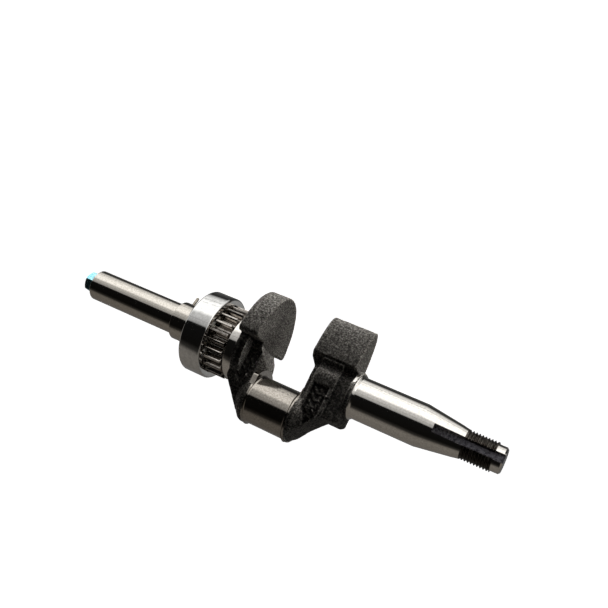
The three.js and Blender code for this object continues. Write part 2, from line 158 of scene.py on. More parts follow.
# ---- materials
def steelMaterial(name, settings):
    # Metal whose colour and roughness wander in spots, with a bump of fine lines. lineScale is lines per
    # metre along X, Y and Z, so a high first number by itself draws rings round the shaft.
    material = bpy.data.materials.new(name)
    material.use_nodes = True
    tree = material.node_tree
    shader = tree.nodes["Principled BSDF"]
    shader.inputs["Metallic"].default_value = 1.0
    place = addNode(tree, "ShaderNodeTexCoord").outputs["Object"]
    stretched = addNode(tree, "ShaderNodeMapping", {"Scale": settings["lineScale"]}, {"Vector": place})
    lines = addNode(tree, "ShaderNodeTexNoise", {"Scale": 1.0, "Detail": 3.0, "Roughness": 0.6},
                    {"Vector": stretched.outputs["Vector"]})
    spots = addNode(tree, "ShaderNodeTexNoise",
                    {"Scale": settings["spotScale"], "Detail": 4.0, "Roughness": 0.65}, {"Vector": place})
    mixed = addNode(tree, "ShaderNodeMath", {"operation": "ADD"},
                    {0: lines.outputs["Fac"], 1: spots.outputs["Fac"]})
    smoothest, dullest = settings["roughness"]
    roughness = addNode(tree, "ShaderNodeMapRange",
                        {"From Min": 0.7, "From Max": 1.3, "To Min": smoothest, "To Max": dullest},
                        {"Value": mixed.outputs["Value"]})
    tree.links.new(roughness.outputs["Result"], shader.inputs["Roughness"])
    tint = addNode(tree, "ShaderNodeValToRGB", links={"Fac": spots.outputs["Fac"]})
    rampStops(tint, [(0.35, linear(settings["dark"])), (0.62, linear(settings["light"]))])
    tree.links.new(tint.outputs["Color"], shader.inputs["Base Color"])
    bump = addNode(tree, "ShaderNodeBump", {"Strength": settings["lineBump"], "Distance": 0.00002},
                   {"Height": lines.outputs["Fac"]})
    tree.links.new(bump.outputs["Normal"], shader.inputs["Normal"])
    return material


# Ground shaft steel: grinding lines 0.3 mm apart round the axis, drawn coarser than the real 0.02 mm
# so that they show; it gives crisp bands with faint streaks across them.
groundSteel = steelMaterial("ground_shaft_steel", {
    "lineScale": (3200, 60, 60), "spotScale": 900, "roughness": (0.05, 0.12), "lineBump": 0.12,
    "dark": "#b4aea5", "light": "#c6c1b8"})
# Polished journal steel: lines 0.4 mm apart, again coarser than real, but fainter; the brightest of all.
journalSteel = steelMaterial("polished_journal_steel", {
    "lineScale": (2600, 80, 80), "spotScale": 900, "roughness": (0.04, 0.09), "lineBump": 0.06,
    "dark": "#cdc9c2", "light": "#dedad3"})
# Crankpin steel, worn by the rod: darker and a little duller, with faint lines round it.
pinSteel = steelMaterial("worn_crankpin_steel", {
    "lineScale": (2600, 80, 80), "spotScale": 900, "roughness": (0.06, 0.13), "lineBump": 0.12,
    "dark": "#8e8880", "light": "#a8a299"})
# Bearing steel, superfinished: nearly a mirror, and nearly without a colour of its own.
bearingSteel = steelMaterial("superfinished_bearing_steel", {
    "lineScale": (1800, 90, 90), "spotScale": 500, "roughness": (0.05, 0.1), "lineBump": 0.06,
    "dark": "#c9c8c5", "light": "#dad9d6"})
# Hobbed gear steel with a film of oil: a darker mirror, in cloudy patches about 2 mm across.
gearSteel = steelMaterial("oiled_gear_steel", {
    "lineScale": (500, 500, 500), "spotScale": 420, "roughness": (0.1, 0.2), "lineBump": 0.02,
    "dark": "#8a847d", "light": "#b5afa8"})
# Cut thread with old oil in its roots: a brownish black, with grey glints on the crests.
threadSteel = steelMaterial("oiled_black_thread", {
    "lineScale": (900, 900, 900), "spotScale": 350, "roughness": (0.25, 0.45), "lineBump": 0.3,
    "dark": "#2c2621", "light": "#5a5650"})
# Milled keyway: coarse cutter marks about 0.7 mm apart, dark with lighter specks.
keywaySteel = steelMaterial("milled_keyway_steel", {
    "lineScale": (1400, 900, 900), "spotScale": 900, "roughness": (0.4, 0.7), "lineBump": 0.9,
    "dark": "#26252a", "light": "#77757a"})
# Pressed cage sheet: satin, a little yellow.
cageSteel = steelMaterial("pressed_cage_steel", {
    "lineScale": (700, 700, 700), "spotScale": 500, "roughness": (0.25, 0.42), "lineBump": 0.2,
    "dark": "#7d776d", "light": "#9c958a"})
# Zinc plate with blue passivation: cyan where it catches the light, teal in the dark.
zincPlate = steelMaterial("blue_zinc_plate", {
    "lineScale": (420, 420, 420), "spotScale": 600, "roughness": (0.16, 0.32), "lineBump": 0.25,
    "dark": "#64a5b5", "light": "#9fd6e2"})


# Scales are features per metre, so the grains are about 1 mm across, the patches 11 mm and the pits 6 mm.
# The ridge factor is a painted highlight on convex edges; the hollow factor darkens concave places.
forgingLook = {
    "grainScale": 950.0, "patchScale": 90.0, "pitScale": 160.0, "pitting": 0.6, "specular": 0.04,
    "hollow": "#2f2d2a", "middle": "#77736d", "crest": "#cfcac2", "paintedEdgeHighlight": 1.9, "darkHollow": 0.35,
    "roughness": (0.42, 0.7), "grainBump": 0.8, "grainHeight": 0.00016,
}


def forgingMaterial():
    # Shot-blasted forged steel, oiled: a dull dark skin with grains about twice as coarse as the real
    # peening, so that they show. It looks mid grey in the light and black in the shade.
    material = bpy.data.materials.new("shot_blasted_forging")
    material.use_nodes = True
    tree = material.node_tree
    shader = tree.nodes["Principled BSDF"]
    shader.inputs["Metallic"].default_value = 0.0
    shader.inputs["Specular IOR Level"].default_value = forgingLook["specular"]
    place = addNode(tree, "ShaderNodeTexCoord").outputs["Object"]
    grain = addNode(tree, "ShaderNodeTexNoise",
                    {"Scale": forgingLook["grainScale"], "Detail": 3.0, "Roughness": 0.7},
                    {"Vector": place})
    patches = addNode(tree, "ShaderNodeTexNoise",
                      {"Scale": forgingLook["patchScale"], "Detail": 4.0, "Roughness": 0.6},
                      {"Vector": place})
    pits = addNode(tree, "ShaderNodeTexVoronoi", {"Scale": forgingLook["pitScale"]}, {"Vector": place})
    colour = addNode(tree, "ShaderNodeValToRGB", links={"Fac": grain.outputs["Fac"]})
    rampStops(colour, [(0.34, linear(forgingLook["hollow"])), (0.52, linear(forgingLook["middle"])),
                       (0.7, linear(forgingLook["crest"]))])
    worn = addNode(tree, "ShaderNodeValToRGB", links={"Fac": patches.outputs["Fac"]})
    rampStops(worn, [(0.35, 0.72), (0.65, 1.0)])
    spots = addNode(tree, "ShaderNodeValToRGB", links={"Fac": pits.outputs["Distance"]})
    rampStops(spots, [(0.03, 0.35), (0.1, 1.0)])
    shaded = addNode(tree, "ShaderNodeMix", {"data_type": "RGBA", "blend_type": "MULTIPLY", 0: 1.0},
                     {6: colour.outputs["Color"], 7: worn.outputs["Color"]})
    pitted = addNode(tree, "ShaderNodeMix",
                     {"data_type": "RGBA", "blend_type": "MULTIPLY", 0: forgingLook["pitting"]},
                     {6: shaded.outputs[2], 7: spots.outputs["Color"]})
    # Painted highlight: by pointiness, convex edges are made up to 1.9 times lighter to stand for their lit
    # rounding, and hollows are darkened to 0.35 of the colour.
    pointiness = addNode(tree, "ShaderNodeNewGeometry").outputs["Pointiness"]
    edgeHighlightFactor = addNode(tree, "ShaderNodeMapRange",
                    {"From Min": 0.47, "From Max": 0.56,
                     "To Min": forgingLook["darkHollow"], "To Max": forgingLook["paintedEdgeHighlight"]},
                    {"Value": pointiness})
    withEdgeHighlight = addNode(tree, "ShaderNodeMix", {"data_type": "RGBA", "blend_type": "MULTIPLY", 0: 1.0},
                     {6: pitted.outputs[2], 7: edgeHighlightFactor.outputs["Result"]})
    tree.links.new(withEdgeHighlight.outputs[2], shader.inputs["Base Color"])
    smoothest, dullest = forgingLook["roughness"]
    roughness = addNode(tree, "ShaderNodeMapRange", {"To Min": smoothest, "To Max": dullest},
                        {"Value": grain.outputs["Fac"]})
    tree.links.new(roughness.outputs["Result"], shader.inputs["Roughness"])
    bump = addNode(tree, "ShaderNodeBump",
                   {"Strength": forgingLook["grainBump"], "Distance": forgingLook["grainHeight"]},
                   {"Height": grain.outputs["Fac"]})
    tree.links.new(bump.outputs["Normal"], shader.inputs["Normal"])
    return material


forging = forgingMaterial()
print("materials made")


# ---- shaft
# Millimetres. Starts, left and right are stations counted from the bearing's inner side.
shaft = {
    "takeOffRadius": 10.0, "collarRadius": 12.25, "collarLength": 18.5, "takeOffChamfer": 1.4,
    "reliefDepth": 0.12, "collarChamfer": 0.1,
    "hubRadius": 13.2, "shoulderRadius": 20.5, "shoulderStart": 12.5, "shoulderWidth": 6.2,
    "journalStart": 91.2, "journalShoulder": 13.7, "journalRadius": 12.5, "journalLeft": 93.3,
    "taperStart": 132.6, "threadStart": 157.5, "taperEndRadius": 8.8, "threadRadius": 8.6,
    "threadPitch": 1.75, "threadDepth": 0.95, "flankSlope": 1.35, "crestShare": 0.1,
    "tipStart": 174.9, "tipRadius": 7.6, "tipChamfer": 0.9, "tipFillet": 0.7,
    "keywayHalfWidth": 2.5, "keywayFloor": 5.1, "keywaySetback": 8.2, "keywayColumns": 13,
    "roundColumns": 132, "boreRadius": 3.4, "taperRings": (135.0, 138.0, 145.0, 150.0, 154.0),
}
takeOffEnd = shaftLow[0] / mm - startX
tipEnd = shaftHigh[0] / mm - startX
collarStart = ringLow[0] / mm - startX - shaft["collarLength"]


def takeOffShaft():
    # Plain shaft with a chamfered end, a relief groove before the stepped collar, and the two seats.
    radius, collar, chamfer = shaft["takeOffRadius"], shaft["collarRadius"], shaft["takeOffChamfer"]
    relief = radius - shaft["reliefDepth"]
    profile = softProfile([
        (takeOffEnd, shaft["boreRadius"] + 1), (takeOffEnd, radius - chamfer),
        (takeOffEnd + chamfer, radius), (collarStart - 1.4, radius),
        (collarStart - 1.2, relief), (collarStart - 0.9, relief),
        (collarStart - 0.8, radius + shaft["collarChamfer"]),
        (collarStart + 0.7, collar - shaft["collarChamfer"]),
        (collarStart + 0.9, collar), (collarStart + 1.5, collar),
        (0.3, collar), (0.3, shaft["hubRadius"]), (shaft["shoulderStart"] + 1, shaft["hubRadius"]),
    ], 0.2)
    return gridMesh("shaft_take_off", turnedGrid(profile, 160))


def webShoulder():
    # Machined disc behind the gear, with a broken edge.
    x0, radius = shaft["shoulderStart"], shaft["shoulderRadius"]
    profile = softProfile([
        (x0, shaft["hubRadius"]), (x0, radius - 0.9), (x0 + 0.9, radius),
        (x0 + shaft["shoulderWidth"], radius), (x0 + shaft["shoulderWidth"] + 0.5, shaft["hubRadius"]),
    ], 0.3)
    return gridMesh("web_shoulder", turnedGrid(profile, 160))


def threadedShaft():
    # Journal, taper, thread and tip. radius(x, angle) is the turned profile, less the thread's groove where
    # the helix x / pitch - angle / turn runs through it, and never over the keyway's flat floor.
    shoulder, journal, left = shaft["journalShoulder"], shaft["journalRadius"], shaft["journalLeft"]
    threadStart, tipStart, tipRadius = shaft["threadStart"], shaft["tipStart"], shaft["tipRadius"]
    profile = softProfile([
        (shaft["journalStart"] - 1, shoulder), (left - 0.3, shoulder), (left, shoulder - 0.4),
        (left, journal + 1), (left + 1, journal), (shaft["taperStart"], journal),
        (threadStart, shaft["taperEndRadius"]),
    ], 0.3)
    keyStart = shaft["taperStart"] + shaft["keywaySetback"]
    threadX = np.arange(threadStart, tipStart, shaft["threadPitch"] / 12)
    # More rings shape the taper, and two close together keep the keyway's end wall steep.
    extraX = np.array([*shaft["taperRings"], keyStart - 0.02, keyStart + 0.02, keyStart + 0.4])
    tipX = np.array([tipStart, tipStart + shaft["tipFillet"], tipEnd - shaft["tipChamfer"], tipEnd])
    tipR = np.array([shaft["threadRadius"] - 0.9, tipRadius, tipRadius, tipRadius - shaft["tipChamfer"]])
    # The shoulder's wall keeps its points in order; beyond it x only grows, so more rings can be sorted in.
    wall, body = profile[:8], profile[8:]
    bodyX = np.sort(np.concatenate([body[:, 0], extraX]))
    bodyX = bodyX[bodyX < threadStart - 1e-6]
    x = np.concatenate([wall[:, 0], bodyX, threadX, tipX])
    r = np.concatenate([wall[:, 1], np.interp(bodyX, body[:, 0], body[:, 1]),
                        np.full(len(threadX), shaft["threadRadius"]), tipR])
    edge = math.asin(shaft["keywayHalfWidth"] / shaft["threadRadius"])
    seam = 0.002  # radians from the keyway's edge to the columns on either side of it
    inKey = np.linspace(-1, 1, shaft["keywayColumns"]) * (edge - seam)
    outside = np.linspace(edge + seam, 2 * math.pi - edge - seam, shaft["roundColumns"])
    fromKey = np.concatenate([inKey, outside])
    inKeyway = np.abs(fromKey) <= edge
    # Columns keep the keyway's width at every radius, so its walls stay straight.
    edgeHere = np.arcsin(np.clip(shaft["keywayHalfWidth"] / r, 0, 1))[:, None]
    share = np.where(inKeyway, fromKey / edge * edgeHere,
                     edgeHere + (fromKey - edge) / (2 * math.pi - 2 * edge) * (2 * math.pi - 2 * edgeHere))
    angle = share + math.pi / 2
    turn = x[:, None] / shaft["threadPitch"] - angle / (2 * math.pi)
    wave = np.abs(turn % 1 - 0.5) * 2
    groove = np.clip(wave * shaft["flankSlope"] - shaft["crestShare"], 0, 1) * shaft["threadDepth"]
    runIn = np.clip((x - threadStart - 0.2) / 1.2, 0, 1)
    runOut = np.clip((tipStart - x) / 0.6, 0, 1)
    radius = r[:, None] - groove * (runIn * runOut)[:, None]
    keyed = inKeyway[None, :] & (x > keyStart)[:, None]
    floor = shaft["keywayFloor"] / np.cos(np.where(inKeyway, share, 0))
    radius = np.where(keyed, np.minimum(radius, floor), radius)
    points = np.stack([np.broadcast_to(x[:, None], radius.shape) + startX,
                       radius * np.cos(angle), radius * np.sin(angle)], -1)
    piece = gridMesh("shaft_threaded", points, sharp=40)
    # A face's kind is its material: 0 for journal, 1 between two keyway columns, 2 on the thread's rows.
    # The last two faces are the flat ends.
    inSlot = keyed[:-1] & keyed[1:] & np.roll(keyed, -1, 1)[1:]
    threadRows = (x[:-1] > threadStart) & (x[1:] < tipStart + 0.3)
    onThread = np.broadcast_to(threadRows[:, None], inSlot.shape)
    kinds = np.where(inSlot, 1, np.where(onThread, 2, 0)).ravel()
    return piece, np.concatenate([kinds, [0, 2]]).astype(np.int32)


# Millimetres; cheek and end are the cheeks' furthest reach and the arms' round ends, from the pin's axis.
pin = {"throw": 25.0, "radius": 14.5, "left": 37.7, "right": 64.0, "cheek": 18.5, "end": 15.2,
       "leftHalfWidth": 14.0, "rightHalfWidth": 9.3, "leftDepth": 3.0, "rightDepth": 1.5,
       "fillet": 1.1, "brokenEdge": 0.2, "columns": 160}


def crankPin():
    # Ground crankpin between two machined cheeks. A cheek reaches further out towards the main axis:
    # its radius is its half width over |sin(angle)|, held between the arm's end and the cheek's own.
    left, right, fillet, edge = pin["left"], pin["right"], pin["fillet"], pin["brokenEdge"]
    angle = np.linspace(0, 2 * math.pi, pin["columns"], endpoint=False)
    slant = np.maximum(np.abs(np.sin(angle)), 1e-3)
    inward = np.cos(angle) > 0

    def cheek(halfWidth):
        reach = np.clip(halfWidth / slant, pin["end"], pin["cheek"])
        return np.where(inward, reach, pin["end"])[None, :]

    leftCheek, rightCheek = cheek(pin["leftHalfWidth"]), cheek(pin["rightHalfWidth"])
    bend = np.linspace(0, math.pi / 2, 7)
    leftX = left + fillet * (1 - np.cos(bend))
    filletR = pin["radius"] + fillet * (1 - np.sin(bend))
    x = np.concatenate([[left - pin["leftDepth"], left - edge, left, left], leftX,
                        (left + right - leftX)[::-1],
                        [right, right, right + edge, right + pin["rightDepth"]]])
    inner = np.repeat(np.concatenate([filletR, filletR[::-1]])[:, None], len(angle), 1)
    foot = np.full((1, len(angle)), pin["radius"] + fillet + 0.02)  # just outside the fillet's widest ring
    r = np.concatenate([leftCheek, leftCheek, leftCheek - edge, foot, inner,
                        foot, rightCheek - edge, rightCheek, rightCheek])
    points = np.stack([np.repeat(x[:, None], len(angle), 1) + startX,
                       r * np.cos(angle) - pin["throw"], r * np.sin(angle)], -1)
    return gridMesh("crankpin", points)


dress(takeOffShaft(), groundSteel, "crankshaft", "crankshaft")
dress(webShoulder(), journalSteel, "crankshaft", "crankshaft")
threaded, faceKinds = threadedShaft()
dress(threaded, journalSteel, "crankshaft", "crankshaft")
threaded.data.materials.append(keywaySteel)
threaded.data.materials.append(threadSteel)
threaded.data.polygons.foreach_set("material_index", faceKinds)
dress(crankPin(), pinSteel, "crankshaft", "crankshaft")
print("shaft and crankpin made")


# ---- forged webs
# Millimetres. A block is (lowest station, highest station, lowest y). The groove lies at y = grooveHeight.
webs = {
    "voxel": 0.5, "smoothing": 7, "left": [(18.0, 37.3, -60.0)],
    "right": [(64.4, 92.6, -60.0), (59.0, 66.0, 2.0)], "nearFace": 8.0,
    "markHeight": 0.9, "markWidth": 0.8, "panelDepth": 1.5, "panelEdge": 0.9, "grooveDepths": (0.0, 1.8),
    "grooveHeight": 8.5, "grooveWidth": 3.4, "waveHeight": 0.08,
}
marks = {"halfWidth": 0.3, "halfHeight": 0.33, "uprightShare": 0.5, "hookedShare": 0.75, "hookReach": 1.6}


def cutWeb(name, blocks):
    # Copies of the forging, each between two planes across the shaft and over a lowest y, closed and
    # remeshed together as one even skin.
    mesh = bpy.data.meshes.new(name + "_rough")
    joined = bmesh.new()
    for low, high, lowY in blocks:
        work = bmesh.new()
        work.from_mesh(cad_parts["crankshaft"].data)
        bmesh.ops.remove_doubles(work, verts=work.verts, dist=1e-6)
        planes = [((low + startX, 0, 0), (-1, 0, 0)), ((high + startX, 0, 0), (1, 0, 0)),
                  ((0, lowY, 0), (0, -1, 0))]
        for place, away in planes:
            cut = bmesh.ops.bisect_plane(work, geom=work.verts[:] + work.edges[:] + work.faces[:],
                                         plane_co=Vector(place) * mm, plane_no=Vector(away),
                                         clear_outer=True)
            edges = [item for item in cut["geom_cut"] if isinstance(item, bmesh.types.BMEdge)]
            bmesh.ops.holes_fill(work, edges=edges)
        bmesh.ops.recalc_face_normals(work, faces=work.faces)
        work.to_mesh(mesh)
        joined.from_mesh(mesh)
        work.free()
    joined.to_mesh(mesh)
    joined.free()
    rough = bpy.data.objects.new(name + "_rough", mesh)
    bpy.context.collection.objects.link(rough)
    remesh = rough.modifiers.new("skin", "REMESH")
    remesh.mode = "VOXEL"
    remesh.voxel_size = webs["voxel"] * mm
    smooth = rough.modifiers.new("rounding", "SMOOTH")
    smooth.factor = 0.5
    smooth.iterations = webs["smoothing"]
    evaluated = rough.evaluated_get(bpy.context.evaluated_depsgraph_get())
    skin = bpy.data.meshes.new_from_object(evaluated)
    bpy.data.objects.remove(rough)
    skin.name = name
    return skin


def strokeHeight(along, across, strokes, width):
    # Height of rounded raised strokes: 1 out to 0.35 of the width from a stroke's middle line, then falling
    # evenly to 0 at 1.35 of it. The distance is to the nearest point of the stroke, its ends included.
    height = np.zeros(len(along))
    for x0, y0, x1, y1 in strokes:
        dx, dy = x1 - x0, y1 - y0
        t = np.clip(((along - x0) * dx + (across - y0) * dy) / (dx * dx + dy * dy), 0, 1)
        gap = np.hypot(along - x0 - t * dx, across - y0 - t * dy)
        height = np.maximum(height, np.clip(1.35 - gap / width, 0, 1))
    return height


def sunkenPanel(along, across, corners, edge):
    # 1 inside a panel and 0 outside: a half, plus the least distance inwards from the panel's sides over
    # the edge's width, held between 0 and 1. The corners run anticlockwise.
    inside = np.full(len(along), np.inf)
    for (x0, y0), (x1, y1) in zip(corners, corners[1:] + corners[:1]):
        length = math.hypot(x1 - x0, y1 - y0)
        inside = np.minimum(inside, ((x1 - x0) * (across - y0) - (y1 - y0) * (along - x0)) / length)
    return np.clip(inside / edge + 0.5, 0, 1)


def plainMarks(rows, columns, corner, across, down, seed):
    # Rows of plain raised bars and hooks that mean nothing: an upright or leaning bar in each cell of a
    # grid, and on most of them a short foot to one side.
    random = np.random.default_rng(seed)
    corner, across, down = np.array(corner), np.array(across), np.array(down)
    half, tall = across / columns * marks["halfWidth"], down / rows * marks["halfHeight"]
    strokes = []
    for row in range(rows):
        for column in range(columns):
            centre = corner + across * (column + 0.5) / columns + down * (row + 0.5) / rows
            reach = tall if random.random() < marks["uprightShare"] else half + tall
            ends = [centre - reach, centre + reach]
            strokes.append((*ends[0], *ends[1]))
            if random.random() < marks["hookedShare"]:
                foot = ends[int(random.random() * 2)]
                side = marks["hookReach"] if random.random() < 0.5 else -marks["hookReach"]
                strokes.append((*foot, *(foot + half * side)))
    return strokes


def forgedWeb(name, blocks, strokes, panel, grooveDepth):
    # The skin moved along its normals: by a product of three sine waves about 7 mm long, and on the near
    # face also out by the raised marks and in by the panel. The groove there is a bell curve of y.
    mesh = cutWeb(name, blocks)
    count = len(mesh.vertices)
    place, normal = np.empty(count * 3), np.empty(count * 3)
    mesh.vertices.foreach_get("co", place)
    mesh.vertex_normals.foreach_get("vector", normal)
    place, normal = place.reshape(-1, 3) / mm, normal.reshape(-1, 3)
    x, y, z = place[:, 0] - startX, place[:, 1], place[:, 2]
    waves = np.sin(x * 0.9 + y * 0.4) * np.sin(y * 0.7 - z * 0.5) * np.sin(z * 0.8 + x * 0.3)
    # Only faces that look along Z take marks, fading out as they turn 41 degrees away.
    facing = np.clip((normal[:, 2] - 0.75) / 0.2, 0, 1) * (z > webs["nearFace"])
    raised = webs["markHeight"] * strokeHeight(x, y, strokes, webs["markWidth"])
    sunk = webs["panelDepth"] * sunkenPanel(x, y, panel, webs["panelEdge"])
    lift = webs["waveHeight"] * waves + facing * (raised - sunk)
    # Nothing moves within 1 mm of the web's two ends along the shaft, where it meets turned pieces.
    inside = (x > blocks[-1][0] + 1) & (x < blocks[0][1] - 1)
    place += normal * (lift * inside)[:, None]
    groove = grooveDepth * np.exp(-((y - webs["grooveHeight"]) / webs["grooveWidth"]) ** 2)
    underWeight = inside * (y < webs["grooveHeight"] + 5)
    place[:, 2] -= groove * np.clip((z - webs["nearFace"]) / 2, 0, 1) * underWeight
    mesh.vertices.foreach_set("co", (place * mm).ravel())
    return finishMesh(name, mesh, 60)


rightPanel = [(69.5, -3.5), (69.0, -30.0), (76.0, -27.0), (79.0, -20.0), (79.0, -3.5)]
leftPanel = [(20.5, 0.5), (21.0, -12.0), (27.5, -22.0), (31.0, -9.0), (32.5, 0.5)]
rightMarks = plainMarks(5, 2, (70.5, -5.0), (8.0, 0.0), (0.0, -21.0), 4)
leftMarks = plainMarks(3, 2, (23.5, -5.0), (7.5, 0.0), (0.0, -12.0), 9)
leftGroove, rightGroove = webs["grooveDepths"]
leftWeb = forgedWeb("web_take_off_side", webs["left"], leftMarks, leftPanel, leftGroove)
dress(leftWeb, forging, "crankshaft", "crankshaft")
rightWeb = forgedWeb("web_threaded_side", webs["right"], rightMarks, rightPanel, rightGroove)
dress(rightWeb, forging, "crankshaft", "crankshaft")
print("webs made")


# ---- main bearing
# Millimetres; outer and bore are radii, race is the groove's own radius, shoulder how far a ring's land
# lies inside the ball's outline, and cageSplit half the gap between the two pressed halves.
bearing = {"width": 15.0, "outer": 26.0, "bore": 12.5, "balls": 9, "ballRadius": 3.97,
           "pitchRadius": 19.25, "race": 4.27, "shoulder": 1.5, "sheet": 0.8, "cageGap": 0.45,
           "cageSplit": 0.15, "ballRoom": 0.25}
middleX = (ringLow[0] + ringHigh[0]) / 2 / mm - startX
innerShoulder = bearing["pitchRadius"] - bearing["ballRadius"] + bearing["shoulder"]
outerShoulder = bearing["pitchRadius"] + bearing["ballRadius"] - bearing["shoulder"]


def raceCurve(shoulder, side):
    # Arc of the ball's groove from one shoulder to the other: round the ball circle, on its outer side for
    # side 1 and on its inner side for side -1, as far as the angle whose cosine reaches the shoulder.
    reach = math.acos(side * (shoulder - bearing["pitchRadius"]) / bearing["race"])
    angle = np.linspace(reach, -reach, 17)
    return np.stack([middleX + bearing["race"] * np.sin(angle),
                     bearing["pitchRadius"] + side * bearing["race"] * np.cos(angle)], -1)


def bearingRings():
    # Two closed profiles carried round the axis, each with its race's arc between two shoulders.
    left, right = middleX - bearing["width"] / 2, middleX + bearing["width"] / 2
    outer, bore = bearing["outer"], bearing["bore"]
    corners = softProfile([(left, outerShoulder + 0.5), (left, outer - 1), (left + 0.25, outer - 0.55),
                           (left + 1, outer), (right - 1, outer), (right - 0.25, outer - 0.55),
                           (right, outer - 1), (right, outerShoulder + 0.3),
                           (right - 0.4, outerShoulder)], 0.3)
    outerProfile = np.concatenate([corners, raceCurve(outerShoulder, 1), [(left + 0.4, outerShoulder)]])
    dress(gridMesh("bearing_outer_race", turnedGrid(outerProfile, 192), wrapRows=True), bearingSteel,
          "outer_race", "bearing_outer_ring")
    edge = 0.3
    innerProfile = np.concatenate([
        [(left, bore + edge), (left, innerShoulder - edge), (left + edge, innerShoulder)],
        raceCurve(innerShoulder, -1)[::-1],
        [(right - edge, innerShoulder), (right, innerShoulder - edge), (right, bore + edge),
         (right - edge, bore), (left + edge, bore)]])
    dress(gridMesh("bearing_inner_race", turnedGrid(innerProfile, 160), wrapRows=True), bearingSteel,
          "crankshaft", "bearing_inner_ring")


def ballPlace(index, half=0.0):
    # y and z of a ball's middle on the ball circle, or with a half of 0.5 of the middle between two balls.
    angle = 2 * math.pi * (index + half) / bearing["balls"]
    return bearing["pitchRadius"] * math.sin(angle), bearing["pitchRadius"] * math.cos(angle)


def ballsAndRivets():
    # Ball: a half circle turned about its own axis, a little short of the poles, which are closed by one
    # small face each. Rivet: a shank with a domed head at each end.
    bow = np.linspace(-math.pi / 2 + 0.06, math.pi / 2 - 0.06, 25)
    ballProfile = bearing["ballRadius"] * np.stack([np.sin(bow), np.cos(bow)], -1) + (middleX, 0)
    rivetProfile = softProfile([(-1.75, 0.12), (-1.7, 0.6), (-1.27, 1.05), (-1.25, 0.65), (1.25, 0.65),
                                (1.27, 1.05), (1.7, 0.6), (1.75, 0.12)], 0.12, 3) + (middleX, 0)
    for i in range(bearing["balls"]):
        dress(gridMesh(f"ball_{i + 1}", turnedGrid(ballProfile, 40, ballPlace(i))), bearingSteel,
              f"ball_{i + 1}", f"bearing_ball_{i + 1}")
        dress(gridMesh(f"rivet_{i + 1}", turnedGrid(rivetProfile, 20, ballPlace(i, 0.5))), cageSteel,
              "ball_cage", f"cage_rivet_{i + 1}")


def cageHalf(name, side, node):
    # A ribbon round the bearing. Its height over the middle plane is the land's between balls, and over a
    # ball the cup's, the root of cup squared less distance squared, whichever is more. Its section is a
    # thin closed strip.
    angle = np.linspace(0, 2 * math.pi, 432, endpoint=False)
    radii = np.linspace(innerShoulder + bearing["cageGap"], outerShoulder - bearing["cageGap"], 9)
    turn = 2 * math.pi / bearing["balls"]
    fromBall = (angle + turn / 2) % turn - turn / 2

    def skin(cup, land):  # distance is the squared one from the nearest ball's middle
        distance = ((radii[:, None] * np.sin(fromBall)) ** 2
                    + (radii[:, None] * np.cos(fromBall) - bearing["pitchRadius"]) ** 2)
        return np.maximum(np.sqrt(np.clip(cup ** 2 - distance, 0, None)), land)

    pocket = bearing["ballRadius"] + bearing["ballRoom"]
    outside = skin(pocket + bearing["sheet"], bearing["cageSplit"] + bearing["sheet"])
    inside = skin(pocket, bearing["cageSplit"])
    height = np.concatenate([outside, inside[::-1]]) * side + middleX + startX
    radius = np.concatenate([radii, radii[::-1]])[:, None]
    points = np.stack([height, radius * np.sin(angle), radius * np.cos(angle)], -1)
    piece = gridMesh(name, points[::side], wrapRows=True, sharp=50)
    dress(piece, cageSteel, "ball_cage", node)


bearingRings()
ballsAndRivets()
cageHalf("cage_take_off_side", -1, "bearing_cage_left")
cageHalf("cage_web_side", 1, "bearing_cage_right")
print("bearing made")


# ---- timing gear, pin and bolt
# Millimetres; pressure in degrees, root in modules below the pitch circle, samples are points to a tooth.
gear = {"module": 1.75, "teeth": 23, "pressure": 20.0, "chamfer": 0.45, "bore": 13.5, "boreEdge": 0.3,
        "root": 1.2, "rootFillet": 0.5, "footFlare": 0.03, "rimDepth": 1.5, "samples": 34}


def timingGear():
    # Involute teeth. Half the tooth's angle at a radius is a quarter of the angle from tooth to tooth, plus
    # the involute of the pressure angle, less that of the local one. The involute of an angle is its
    # tangent less itself, and the local angle's cosine is base radius over radius. Between the teeth lies
    # the root circle, with a small flare at each tooth's foot.
    pitch = gear["module"] * gear["teeth"] / 2
    tip, root = pitch + gear["module"], pitch - gear["root"] * gear["module"]
    pressure = math.radians(gear["pressure"])
    base = pitch * math.cos(pressure)
    radii = np.linspace(tip, root, 60)
    local = np.arccos(np.clip(base / np.maximum(radii, base), 0, 1))
    half = math.pi / (2 * gear["teeth"]) + math.tan(pressure) - pressure - (np.tan(local) - local)
    half += np.clip((root + gear["rootFillet"] - radii) / gear["rootFillet"], 0, 1) ** 2 * gear["footFlare"]
    pitchAngle = 2 * math.pi / gear["teeth"]
    angle = np.linspace(0, 2 * math.pi, gear["teeth"] * gear["samples"], endpoint=False)
    fromTooth = np.abs((angle + pitchAngle / 2) % pitchAngle - pitchAngle / 2)
    outline = np.interp(fromTooth, half, radii, left=tip, right=root)
    left, right = gearLow[0] / mm, gearHigh[0] / mm
    chamfer, edge = gear["chamfer"], gear["boreEdge"]
    bore = np.full_like(outline, gear["bore"])
    rim = np.full_like(outline, root - gear["rimDepth"])
    rows = [(left, bore + edge), (left, rim), (left, outline - chamfer), (left + chamfer, outline),
            (right - chamfer, outline), (right, outline - chamfer), (right, rim), (right, bore + edge),
            (right - edge, bore), (left + edge, bore)]
    points = np.stack([np.stack([np.full_like(angle, x), r * np.sin(angle), r * np.cos(angle)], -1)
                       for x, r in rows])
    return gridMesh("gear_timing", points[:, ::-1], wrapRows=True, sharp=28)


# Millimetres; from and tip are radii at the pin's two ends, and turn is in degrees.
pinInCollar = {"radius": 1.0, "station": -31.8, "from": 6.6, "tip": 19.1, "turn": -14.6, "sides": 40}


